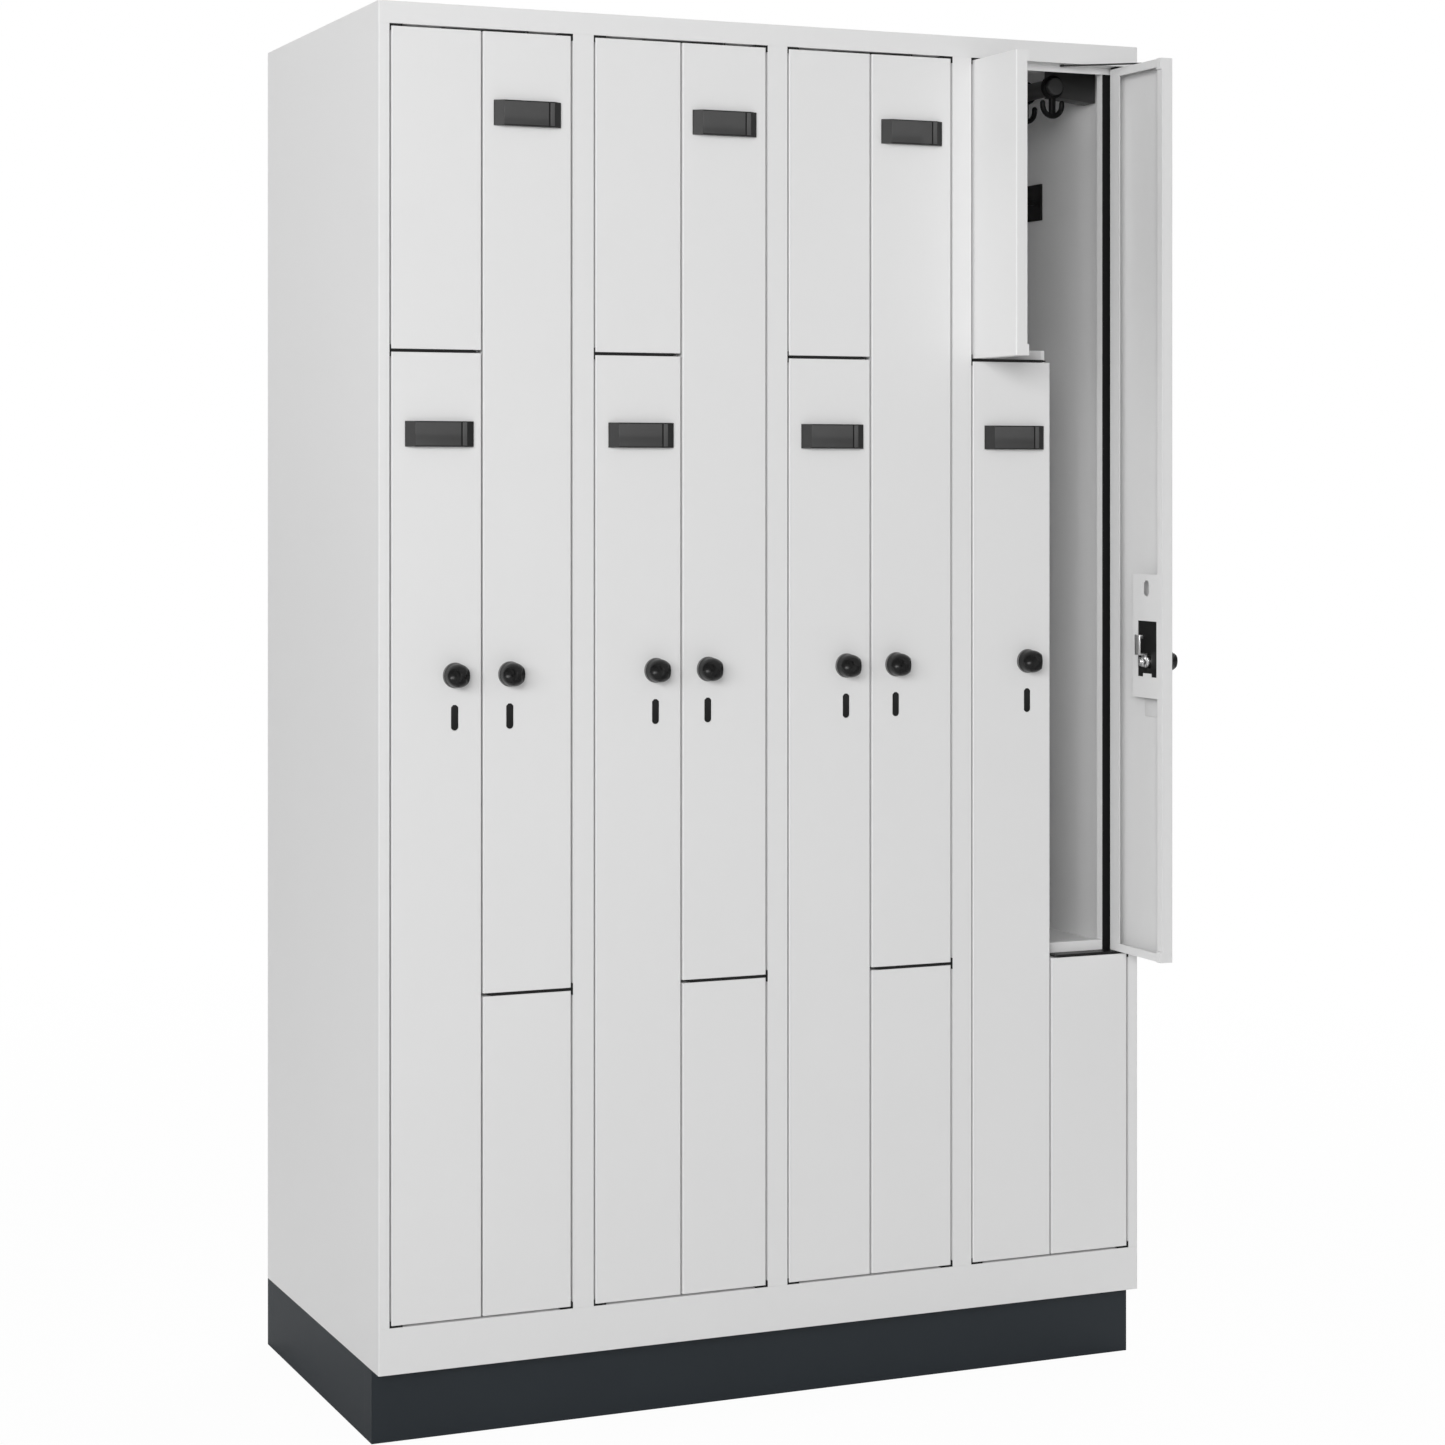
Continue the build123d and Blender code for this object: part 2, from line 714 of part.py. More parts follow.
def make_knob(hand):
    """The turning knob with a grip between two scoops, its shaft, and the stepped cam and nut behind the leaf."""
    dome_rise = (knob_total_height - knob_flange_thickness) / sin(radians(dome_angle))
    dome_side = []
    for band in range(dome_bands + 1):
        climb = radians(dome_angle * band / dome_bands)
        dome_side.append((knob_radius * cos(climb), knob_flange_thickness + dome_rise * sin(climb)))
    dome_profile = dome_side + [(-width, height) for width, height in reversed(dome_side)]
    cam_front = leaf_back + cam_gap
    step_front = cam_front + cam_step
    with BuildPart() as knob:
        for number in range(knob_sides // 2):
            turn = 2 * pi * number / knob_sides
            bar = Plane((0, leaf_front, 0), x_dir=(cos(turn), 0, sin(turn)), z_dir=(sin(turn), 0, -cos(turn)))
            with BuildSketch(bar):
                with BuildLine():
                    Polyline(dome_profile, close=True)
                make_face()
            extrude(amount=2 * knob_radius, both=True, mode=Mode.INTERSECT if number else Mode.ADD)
        with BuildSketch(Plane.XZ.offset(-leaf_front)):
            RegularPolygon(knob_flange_radius, knob_sides, rotation=half_side(knob_sides))
        extrude(amount=knob_flange_thickness)
        with BuildSketch(Plane.XY.offset(-scoop_length / 2)):
            with Locations(
                (-scoop_from_ridge, leaf_front - scoop_height), (scoop_from_ridge, leaf_front - scoop_height)
            ):
                RegularPolygon(scoop_radius, scoop_sides)
        extrude(amount=scoop_length, mode=Mode.SUBTRACT)
        with BuildSketch(Plane.XZ.offset(-leaf_front)):
            RegularPolygon(shaft_radius, shaft_sides)
        extrude(amount=-(cam_front - leaf_front))
        with BuildSketch(Plane.YZ.offset(-cam_width / 2)):
            with BuildLine():
                Polyline(
                    (cam_front, -cam_root),
                    (cam_front, cam_step_height + cam_thickness),
                    (step_front, cam_step_height + cam_thickness),
                    (step_front, cam_reach - cam_tab_height),
                    (step_front - cam_tab_depth, cam_reach - cam_tab_height),
                    (step_front - cam_tab_depth, cam_reach),
                    (step_front + cam_thickness, cam_reach),
                    (step_front + cam_thickness, cam_step_height),
                    (cam_front + cam_thickness, cam_step_height),
                    (cam_front + cam_thickness, -cam_root),
                    close=True,
                )
            make_face()
        extrude(amount=cam_width)
        chamfer(knob.edges().filter_by(Axis.Y).group_by(Axis.Z)[-1], cam_corner)
        with BuildSketch(Plane.XZ.offset(-(cam_front + cam_thickness))):
            RegularPolygon(nut_radius, 6)
        extrude(amount=-nut_thickness)
    return Location((hand * knob_x, 0, knob_height)) * knob.part


def make_label(place, top):
    """A label holder: a moulding with sloping ends and a groove near its right end."""
    half = label_width / 2
    with BuildPart() as label:
        with BuildSketch(Plane.XY.offset(-label_height / 2)):
            with BuildLine():
                Polyline(
                    (-half, 0),
                    (-half, -label_edge),
                    (-half + label_slope, -label_thickness),
                    (half - label_slope, -label_thickness),
                    (half, -label_edge),
                    (half, 0),
                    close=True,
                )
            make_face()
            with Locations((half - label_groove_place, -label_thickness)):
                Rectangle(label_groove, label_groove, align=(Align.MIN, Align.MIN), mode=Mode.SUBTRACT)
        extrude(amount=label_height)
    return Location((place, leaf_front, top - label_drop)) * label.part


def make_stay(attach, roller):
    """A wire from an eye on the leaf to a small roller under the top rail."""
    run = Vector(roller[0] - attach[0], roller[1] - attach[1], 0)
    with BuildPart() as stay:
        with BuildSketch(Plane(origin=(attach[0], attach[1], stay_height), z_dir=run)):
            RegularPolygon(stay_wire, stay_wire_sides)
        extrude(amount=run.length)
        for place, radius, sides in (
            (attach, stay_eye_radius, pin_sides),
            (roller, stay_roller_radius, stay_roller_sides),
        ):
            with BuildSketch(Plane.XY.offset(stay_height - stay_roller_thickness / 2)):
                with Locations(place):
                    RegularPolygon(radius, sides)
            extrude(amount=stay_roller_thickness)
        with BuildSketch(Plane.XY.offset(stay_height)):
            with Locations(attach):
                RegularPolygon(stay_pin_radius, pin_sides)
        extrude(amount=-(stay_roller_thickness / 2 + stay_pin_length))
    return stay.part


def hang(part, axis_x, angle):
    """Put a piece of a leaf on its hinge axis, turned by the leaf's angle at rest."""
    return Location((axis_x, hinge_axis_y, 0), (0, 0, angle)) * part


for number in range(bay_count):
    left_axis = bay_start(number) + hinge_axis_x
    right_axis = bay_start(number + 1) - hinge_axis_x
    upper_angle = open_angle if (number, True) == open_compartment else 0
    bay_name = str(number + 1)
    for name, hand, axis_x, angle, low, high, label_place in (
        ("lower", 1, left_axis, 0, leaf_bottom, high_gap_bottom, lower_label_from_axis),
        ("upper", -1, right_axis, upper_angle, low_gap_top, leaf_top, -upper_label_from_axis),
    ):
        tall = make_leaf(hand, low, high, True, name == "upper")
        save(hang(tall, axis_x, angle), name + "_tall_leaf_" + bay_name)
        save(hang(make_lock_case(hand), axis_x, angle), name + "_lock_" + bay_name)
        save(hang(make_knob(hand), axis_x, angle), name + "_knob_" + bay_name)
        save(hang(make_label(label_place, high), axis_x, angle), name + "_label_" + bay_name)
    for name, hand, axis_x, angle, low, high in (
        ("lower", -1, right_axis, 0, leaf_bottom, low_gap_bottom),
        ("upper", 1, left_axis, -upper_angle, high_gap_top, leaf_top),
    ):
        short = make_leaf(hand, low, high, False, False)
        save(hang(short, axis_x, angle), name + "_short_leaf_" + bay_name)
    turn = radians(upper_angle)
    across = -stay_from_axis
    deep = leaf_front + stay_from_front
    attach = (
        right_axis + across * cos(turn) - deep * sin(turn),
        hinge_axis_y + across * sin(turn) + deep * cos(turn),
    )
    track_y = front + stay_track_depth
    reach = sqrt(stay_length**2 - (track_y - attach[1]) ** 2)
    save(make_stay(attach, (attach[0] - reach, track_y)), "door_stay_" + bay_name)
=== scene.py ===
import json
import math

import bmesh
import bpy
from mathutils import Matrix, Vector


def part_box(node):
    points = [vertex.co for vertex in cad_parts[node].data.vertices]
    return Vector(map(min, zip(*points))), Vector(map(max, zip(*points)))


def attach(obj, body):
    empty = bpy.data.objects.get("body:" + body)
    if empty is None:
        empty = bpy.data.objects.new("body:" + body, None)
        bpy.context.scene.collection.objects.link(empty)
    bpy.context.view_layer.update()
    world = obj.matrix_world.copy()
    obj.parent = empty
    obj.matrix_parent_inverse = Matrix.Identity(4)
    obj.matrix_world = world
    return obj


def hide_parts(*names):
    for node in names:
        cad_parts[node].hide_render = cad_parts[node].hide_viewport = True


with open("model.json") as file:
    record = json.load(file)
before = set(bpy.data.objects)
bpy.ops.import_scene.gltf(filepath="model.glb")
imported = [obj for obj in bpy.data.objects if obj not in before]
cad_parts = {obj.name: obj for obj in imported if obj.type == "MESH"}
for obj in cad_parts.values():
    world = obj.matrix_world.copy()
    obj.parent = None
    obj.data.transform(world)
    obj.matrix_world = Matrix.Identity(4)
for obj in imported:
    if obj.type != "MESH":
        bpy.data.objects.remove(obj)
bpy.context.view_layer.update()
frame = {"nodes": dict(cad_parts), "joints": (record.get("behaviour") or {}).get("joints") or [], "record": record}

# Everything is in metres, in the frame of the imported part: front towards -Y, +Z up, origin on the floor
BAYS = 4
BAY_WIDTH = 0.3
FRONT = -0.25
BACK = 0.25
SIDE = BAYS * BAY_WIDTH / 2
PANEL = 0.0015
HALF_PARTITION = 0.0006

# Leaves, in their own frame about the hinge axis
LEAF_FRONT = -0.0075
LEAF_BACK = 0.0105

# Lock case, slot insert and the tab behind it
LEAF_SHEET = 0.001
CASE_HALF_WIDTH = 0.025
CASE_ABOVE_KNOB = 0.064
CASE_BELOW_KNOB = 0.0525
CASE_CLEARANCE = 0.0003
CASE_HOLE = 0.0091
SLOT_BELOW_KNOB = 0.0577
SLOT_HALF_WIDTH = 0.0051
SLOT_HALF_LENGTH = 0.0172
TAB_BELOW_KNOB = 0.0815
TAB_THICKNESS = 0.0015
TAB_ROUND = 0.0003
CASE_ROUND = 0.0002
SLOT_STEPS = 8

# Knob, collar, cam and nut
KNOB_RADIUS = 0.0163
KNOB_TOP = 0.0348
WALL_TOP = 0.0130
COLLAR_RADIUS = 0.0174
COLLAR_THICKNESS = 0.003
COLLAR_RIM = 0.0006
SCOOP_PLACE = 0.017
SCOOP_RADIUS = 0.0135
SCOOP_HEIGHT = 0.030
SCOOP_BLEND = 0.0005
SCOOP_SLOPE = 6
WALL_RINGS = 4
DOME_RINGS = 40
DOME_STEPS = 80
SHAFT_RADIUS = 0.0088
CAM_GAP = 0.002
CAM_THICKNESS = 0.0025
CAM_HALF_WIDTH = 0.006
CAM_REACH = 0.0395
CAM_ROOT = 0.008
CAM_STEP_HEIGHT = 0.010
CAM_STEP = 0.0115
CAM_TAB_HEIGHT = 0.0055
CAM_TAB_DEPTH = 0.0045
CAM_ROUND = 0.0005
NUT_RADIUS = 0.0075
NUT_THICKNESS = 0.0056
STUD_LENGTH = 0.008
STUD_RADIUS = 0.0042
STUD_CHAMFER = 0.0006

# Label holders
LABEL_HALF = 0.0493
LABEL_HALF_HEIGHT = 0.0173
LABEL_THICKNESS = 0.009
LABEL_SLOPE = 0.012
GROOVE_PLACE = 0.020
GROOVE_WIDTH = 0.001
# Black rim of the holder left showing round the window and band: painted shade standing in for the gap shadow
# round the inserts
INSERT_SHADE_RIM = 0.0014
INSERT_THICKNESS = 0.0003
INSERT_ROUND = 0.0002

# Coat rails and hooks
RAIL_RADIUS = 0.0128
RAIL_RIM = 0.0008
RAIL_FROM_WALL = 0.0835
RAIL_HEIGHTS = {"upper": 1.8995, "lower": 1.4293}
RAIL_START = 0.088
BRACKET_START = 0.1065
BRACKET_DEPTH = 0.029
BRACKET_BELOW_RAIL = 0.0195
BRACKET_ABOVE_RAIL = 0.035
BRACKET_RISE = 0.007
BRACKET_TOE = 0.012
BRACKET_OVERLAP = 0.003
BRACKET_ROUND = 0.0012
HOOK_RING = 0.0178
HOOK_PLAY = 0.0002
HOOK_RIM = 0.0009
HOOK_HALF_DEPTH = 0.004
HOOK_STEM_HALF = 0.0045
HOOK_STEM_INSET = 0.0003
HOOK_STEM_BELOW_RAIL = 0.0015
HOOK_STEM_ROUND = 0.0018
HOOK_BOW_RADIUS = 0.01675
HOOK_BOW_HALF = 0.0040
HOOK_BOW_DROP = 0.027
HOOK_BOW_STEPS = 24
HOOK_TIP = 0.0032
HOOK_PLACES = (0.0985, 0.1725)

# Door stays
STAY_LENGTH = 0.118
STAY_TRACK = 0.014
STAY_WIRE = 0.0013
STAY_BEAD = 0.004
STAY_BEAD_HALF = 0.0016
STAY_EYE = 0.003
STAY_EYE_HALF = 0.0012
STAY_PIN = 0.0014
STAY_PIN_REACH = 0.0052

# The photograph's camera: its place, its turn and its shifted lens
CAMERA_PLACE = (-1.8644, -3.8106, 1.3017)
CAMERA_YAW_DEGREES = 20.15
CAMERA_LENS = 70.06
SENSOR = 36.0
CAMERA_SHIFT = (0.2176, -0.1662)

# Light and floor
AMBIENT = 0.30
LAMPS = {
    "key": {"place": (-3.8, -6.1, 2.7), "target": (0.2, 0.0, 1.2), "size": 2.5, "power": 226.0},
    "side": {"place": (-10.0, -8.0, 3.8), "target": (0.2, 0.0, 1.2), "size": 4.5, "power": 398.0},
    "back": {"place": (5.5, 5.0, 5.6), "target": (0.0, 0.0, 1.2), "size": 4.0, "power": 380.0},
}
FLOOR_REACH = 60.0
FLOOR_WHITE_NEAR = 0.97
FLOOR_NEAR = 1.2
FLOOR_FAR = 3.6

joints = {joint["name"]: joint for joint in frame["joints"]}


# Node trees
class Tree:
    """Adds and links shader nodes, so that a material reads as one chain of steps."""

    def __init__(self, owner):
        owner.use_nodes = True
        self.tree = owner.node_tree
        self.tree.nodes.clear()

    def add(self, kind, settings=None, **inputs):
        """A node of a kind: inputs are named after sockets, or i and the number of one."""
        node = self.tree.nodes.new(kind)
        for key, value in (settings or {}).items():
            setattr(node, key, value)
        for key, value in inputs.items():
            numbered = key[0] == "i" and key[1:].isdigit()
            socket = node.inputs[int(key[1:])] if numbered else node.inputs[key.replace("_", " ")]
            if isinstance(value, bpy.types.NodeSocket):
                self.tree.links.new(value, socket)
            else:
                socket.default_value = value
        return node


def grey(value, blue=1.0):
    """A neutral linear colour with a slight tint."""
    return (value, value * (1.0 + blue) / 2.0, value * blue, 1.0)


def finish(name, dark, light, rough, cloud, grain, bump, peel=None, metal=0.0, edge=0.0006, gloss=0.5):
    """A coated or moulded surface: soft clouds in its colour, a fine grain and rounded edges."""
    material = bpy.data.materials.new(name)
    tree = Tree(material)
    place = tree.add("ShaderNodeTexCoord").outputs["Object"]
    clouds = tree.add("ShaderNodeTexNoise", Vector=place, Scale=cloud, Detail=3.0, Roughness=0.55)
    colour = tree.add(
        "ShaderNodeMix", {"data_type": "RGBA"}, Factor=clouds.outputs["Fac"], i6=dark, i7=light
    )
    grains = tree.add("ShaderNodeTexNoise", Vector=place, Scale=grain, Detail=2.0)
    shine = tree.add(
        "ShaderNodeMapRange",
        Value=grains.outputs["Fac"],
        From_Min=0.3,
        From_Max=0.7,
        To_Min=rough[0],
        To_Max=rough[1],
    )
    rounded = tree.add("ShaderNodeBevel", {"samples": 4}, Radius=edge)
    relief = tree.add(
        "ShaderNodeBump",
        Strength=bump,
        Distance=0.0002,
        Height=grains.outputs["Fac"],
        Normal=rounded.outputs["Normal"],
    )
    if peel:
        waves = tree.add("ShaderNodeTexNoise", Vector=place, Scale=peel[0], Detail=1.0)
        relief = tree.add(
            "ShaderNodeBump",
            Strength=peel[1],
            Distance=0.0004,
            Height=waves.outputs["Fac"],
            Normal=relief.outputs["Normal"],
        )
    shader = tree.add(
        "ShaderNodeBsdfPrincipled",
        Base_Color=colour.outputs[2],
        Roughness=shine.outputs["Result"],
        Metallic=metal,
        Specular_IOR_Level=gloss,
        Normal=relief.outputs["Normal"],
    )
    tree.add("ShaderNodeOutputMaterial", Surface=shader.outputs[0])
    return material


# Name, darkest and lightest grey, range of roughness, size of clouds and grain, depth of the grain
PAINT_PEEL = (260.0, 0.05)
body_paint = finish(
    "body_paint", grey(0.735), grey(0.765), (0.40, 0.52), 2.2, 1400.0, 0.10, PAINT_PEEL
)
# Lighter copy of the body paint for the base, partitions and dividers: painted light that brightens the shaded
# inside of the compartments
inner_painted_light = finish(
    "inner_painted_light", grey(0.86), grey(0.89), (0.42, 0.54), 2.2, 1400.0, 0.10, PAINT_PEEL
)
# Lighter copy of the body paint for the side, back and top panels: painted light that lifts the side faces and the
# inner walls they form
side_painted_light = finish(
    "side_painted_light", grey(0.785), grey(0.815), (0.40, 0.52), 2.2, 1400.0, 0.10, PAINT_PEEL
)
plinth_paint = finish(
    "plinth_paint", grey(0.0140, 1.6), grey(0.0180, 1.6), (0.45, 0.58), 5.0, 1400.0, 0.15, (260.0, 0.06),
    gloss=0.3,
)
black_plastic = finish(
    "black_plastic", grey(0.006), grey(0.010), (0.34, 0.46), 40.0, 2200.0, 0.12, gloss=0.22
)
knob_plastic = finish(
    "knob_plastic", grey(0.004), grey(0.007), (0.22, 0.30), 60.0, 2400.0, 0.06, gloss=0.2
)
collar_plastic = finish(
    "collar_plastic", grey(0.12), grey(0.14), (0.30, 0.40), 60.0, 2200.0, 0.08
)
label_plastic = finish(
    "label_plastic", grey(0.006), grey(0.010), (0.34, 0.44), 60.0, 2600.0, 0.10, gloss=0.2
)
window_plastic = finish(
    "window_plastic", grey(0.050), grey(0.058), (0.16, 0.24), 60.0, 1200.0, 0.04, gloss=0.4
)
band_plastic = finish(
    "band_plastic", grey(0.062), grey(0.072), (0.28, 0.36), 60.0, 2000.0, 0.06, gloss=0.4
)
# Lighter than the other black plastics: painted light that brightens the rails and brackets sitting in shade
# inside the compartments
rail_plastic_painted_light = finish(
    "rail_plastic_painted_light", grey(0.040), grey(0.052), (0.34, 0.46), 40.0, 2200.0, 0.12, gloss=0.3
)
hook_plastic = finish(
    "hook_plastic", grey(0.003), grey(0.006), (0.38, 0.50), 40.0, 2200.0, 0.12, gloss=0.14
)
seal_foam = finish(
    "seal_foam", grey(0.004), grey(0.008), (0.70, 0.85), 300.0, 3800.0, 0.30, gloss=0.15
)
wire_black = finish(
    "wire_black", grey(0.006), grey(0.010), (0.28, 0.40), 200.0, 3000.0, 0.10, gloss=0.3
)
bright_zinc = finish(
    "bright_zinc", grey(0.62), grey(0.78), (0.22, 0.34), 160.0, 2600.0, 0.12, metal=1.0
)

slot_finish = {
    "body_paint": body_paint,
    "plinth_paint": plinth_paint,
    "black_plastic": black_plastic,
    "label_plastic": label_plastic,
    "seal_foam": seal_foam,
    "black_wire": wire_black,
}
# Panels inside and at the sides take the lighter copies of the body paint, which are painted light rather than
# another paint
node_finish = {
    "side_panels": side_painted_light,
    "back_panel": side_painted_light,
    "top_panel": side_painted_light,
    "base_panel": inner_painted_light,
    "bay_partitions": inner_painted_light,
    "z_partitions": inner_painted_light,
}
slots = {entry["node"]: entry["material_slot"] for entry in frame["record"]["subparts"]}
for node, slot_name in slots.items():
    mesh = frame["nodes"][node].data
    mesh.materials.clear()
    mesh.materials.append(node_finish.get(node, slot_finish[slot_name]))


# Shapes: each returns a small mesh that a piece then takes in
def slab(low, high, radius, segments=3):
    """A block between two corners with rounded edges."""
    data = bmesh.new()
    bmesh.ops.create_cube(data, size=1.0)
    bmesh.ops.scale(data, vec=[abs(b - a) for a, b in zip(low, high)], verts=data.verts)
    bmesh.ops.translate(data, vec=[(a + b) / 2 for a, b in zip(low, high)], verts=data.verts)
    bmesh.ops.bevel(data, geom=data.edges[:], offset=radius, segments=segments, profile=0.5, affect="EDGES")
    return data


def prism(outline, low, high, radius, segments=2):
    """An outline in the XZ plane drawn out along Y, with rounded edges."""
    data = bmesh.new()
    near = [data.verts.new((x, low, z)) for x, z in outline]
    far = [data.verts.new((x, high, z)) for x, z in outline]
    data.faces.new(near)
    data.faces.new(list(reversed(far)))
    for number in range(len(outline)):
        after = (number + 1) % len(outline)
        data.faces.new((near[number], far[number], far[after], near[after]))
    bmesh.ops.recalc_face_normals(data, faces=data.faces)
    bmesh.ops.bevel(data, geom=data.edges[:], offset=radius, segments=segments, profile=0.5, affect="EDGES")
    return data


def join_rings(data, rings, closed=False):
    """Faces between rings of vertices, where a ring of one vertex is a tip."""
    pairs = list(zip(rings, rings[1:]))
    if closed:
        pairs.append((rings[-1], rings[0]))
    for a, b in pairs:
        steps = max(len(a), len(b))
        for step in range(steps):
            after = (step + 1) % steps
            corners = [a[step % len(a)], b[step % len(b)]]
            if len(b) > 1:
                corners.append(b[after])
            if len(a) > 1:
                corners.append(a[after])
            data.faces.new(corners)


def turned(profile, steps=48):
    """A body of revolution about Y: pairs of depth and radius, closed at radius zero or as a ring."""
    data = bmesh.new()
    rings = []
    for depth, radius in profile:
        ring = []
        count = steps if radius else 1
        for step in range(count):
            turn = 2 * math.pi * step / count
            ring.append(data.verts.new((radius * math.cos(turn), depth, radius * math.sin(turn))))
        rings.append(ring)
    join_rings(data, rings, closed=len(rings[0]) > 1)
    return data


def swept(stations, half_width, half_depth, steps=16):
    """A rounded bar along stations in the XZ plane, each a point and a direction, with domed ends."""
    data = bmesh.new()
    (first, first_way), (last, last_way) = stations[0], stations[-1]
    climbs = (0.0, 0.5, 1.0)
    route = [(first - first_way * half_width * math.cos(a), first_way, math.sin(a)) for a in climbs]
    route += [(point, way, 1.0) for point, way in stations]
    route += [(last + last_way * half_width * math.cos(a), last_way, math.sin(a)) for a in reversed(climbs)]
    rings = []
    for point, way, share in route:
        if not share:
            rings.append([data.verts.new(point)])
            continue
        side = Vector((-way.z, 0, way.x)) * half_width * share
        deep = Vector((0, half_depth * share, 0))
        ring = []
        for step in range(steps):
            turn = 2 * math.pi * step / steps
            ring.append(data.verts.new(point + side * math.cos(turn) + deep * math.sin(turn)))
        rings.append(ring)
    join_rings(data, rings)
    return data


def grip_dome():
    """A dome on a straight wall over the collar, with a scoop on either side of an upright grip."""
    data = bmesh.new()
    wall = WALL_TOP - COLLAR_THICKNESS
    sides = [(KNOB_RADIUS, COLLAR_THICKNESS + wall * step / WALL_RINGS) for step in range(WALL_RINGS)]
    for number in range(DOME_RINGS):
        climb = math.pi / 2 * number / DOME_RINGS
        sides.append((KNOB_RADIUS * math.cos(climb), WALL_TOP + (KNOB_TOP - WALL_TOP) * math.sin(climb)))
    rings = []
    for radius, dome in sides + [(0.0, KNOB_TOP)]:
        ring = []
        count = DOME_STEPS if radius else 1
        for step in range(count):
            turn = 2 * math.pi * step / count
            x = radius * math.cos(turn)
            z = radius * math.sin(turn)
            off = math.hypot(SCOOP_PLACE - abs(x), z)
            if off < SCOOP_RADIUS:
                floor = SCOOP_HEIGHT - math.sqrt(SCOOP_RADIUS**2 - off**2)
            else:
                floor = SCOOP_HEIGHT + (off - SCOOP_RADIUS) * SCOOP_SLOPE
            apart = math.exp(-abs(dome - floor) / SCOOP_BLEND)
            height = min(dome, floor) - SCOOP_BLEND * math.log(1 + apart)
            ring.append(data.verts.new((x, -max(height, 0.0), z)))
        rings.append(ring)
    join_rings(data, rings)
    return data


class Piece:
    """A mesh piece put together from shapes, which rides on a body and may stand for CAD nodes."""

    def __init__(self, name, body, materials, nodes=()):
        self.name = name
        self.body = body
        self.materials = materials
        self.nodes = nodes
        self.data = bmesh.new()

    def add(self, shape, at=Matrix(), slot=0):
        bmesh.ops.recalc_face_normals(shape, faces=shape.faces)
        holder = bpy.data.meshes.new("shape")
        shape.to_mesh(holder)
        shape.free()
        holder.transform(at)
        self.data.faces.ensure_lookup_table()
        before = len(self.data.faces)
        self.data.from_mesh(holder)
        self.data.faces.ensure_lookup_table()
        for number in range(before, len(self.data.faces)):
            self.data.faces[number].material_index = slot
        bpy.data.meshes.remove(holder)

    def make(self, at=Matrix(), sharp=35):
        mesh = bpy.data.meshes.new(self.name)
        self.data.to_mesh(mesh)
        self.data.free()
        mesh.transform(at)
        for material in self.materials:
            mesh.materials.append(material)
        for polygon in mesh.polygons:
            polygon.use_smooth = True
        mesh.set_sharp_from_angle(angle=math.radians(sharp))
        made = bpy.data.objects.new(self.name, mesh)
        bpy.context.scene.collection.objects.link(made)
        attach(made, self.body)
        if self.nodes:
            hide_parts(*self.nodes)
        return made


def centre(node):
    """The middle of a node's box."""
    low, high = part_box(node)
    return (Vector(low) + Vector(high)) / 2


def leaf_turn(kind, bay):
    """The turn of a tall leaf at rest: the open one stands at a right angle."""
    low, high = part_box(f"{kind}_tall_leaf_{bay}")
    is_open = (high[1] - low[1]) > (high[0] - low[0])
    return Matrix.Rotation(math.pi / 2 if is_open else 0.0, 4, "Z")


# Knobs with collar, shaft, cam and nut
def knob_shapes(piece):
    """All shapes of a turning knob about its axis: plastic, collar and zinc."""
    piece.add(grip_dome(), Matrix.Translation((0, LEAF_FRONT, 0)))
    rim = COLLAR_RIM
    piece.add(
        turned(
            [
                (LEAF_FRONT, 0),
                (LEAF_FRONT, COLLAR_RADIUS),
                (LEAF_FRONT - COLLAR_THICKNESS + rim, COLLAR_RADIUS),
                (LEAF_FRONT - COLLAR_THICKNESS + rim * 0.3, COLLAR_RADIUS - rim * 0.3),
                (LEAF_FRONT - COLLAR_THICKNESS, COLLAR_RADIUS - rim),
                (LEAF_FRONT - COLLAR_THICKNESS, 0),
            ]
        ),
        slot=1,
    )
    cam_front = LEAF_BACK + CAM_GAP
    step_front = cam_front + CAM_STEP
    shaft = turned([(LEAF_FRONT, 0), (LEAF_FRONT, SHAFT_RADIUS), (cam_front, SHAFT_RADIUS), (cam_front, 0)])
    piece.add(shaft, slot=2)
    side_on = Matrix.Rotation(math.pi / 2, 4, "Z")
    piece.add(
        prism(
            [
                (cam_front, -CAM_ROOT),
                (cam_front, CAM_STEP_HEIGHT + CAM_THICKNESS),
                (step_front, CAM_STEP_HEIGHT + CAM_THICKNESS),
                (step_front, CAM_REACH - CAM_TAB_HEIGHT),
                (step_front - CAM_TAB_DEPTH, CAM_REACH - CAM_TAB_HEIGHT),
                (step_front - CAM_TAB_DEPTH, CAM_REACH),
                (step_front + CAM_THICKNESS, CAM_REACH),
                (step_front + CAM_THICKNESS, CAM_STEP_HEIGHT),
                (cam_front + CAM_THICKNESS, CAM_STEP_HEIGHT),
                (cam_front + CAM_THICKNESS, -CAM_ROOT),
            ],
            -CAM_HALF_WIDTH,
            CAM_HALF_WIDTH,
            CAM_ROUND,
        ),
        side_on,
        slot=2,
    )
    nut_start = cam_front + CAM_THICKNESS
    corners = [math.radians(60 * number) for number in range(6)]
    piece.add(
        prism(
            [(NUT_RADIUS * math.cos(turn), NUT_RADIUS * math.sin(turn)) for turn in corners],
            nut_start,
            nut_start + NUT_THICKNESS,
            CAM_ROUND,
        ),
        slot=2,
    )
    stud_end = nut_start + STUD_LENGTH
    stud = [
        (nut_start, 0),
        (nut_start, STUD_RADIUS),
        (stud_end - STUD_CHAMFER, STUD_RADIUS),
        (stud_end, STUD_RADIUS - STUD_CHAMFER),
        (stud_end, 0),
    ]
    piece.add(turned(stud), slot=2)


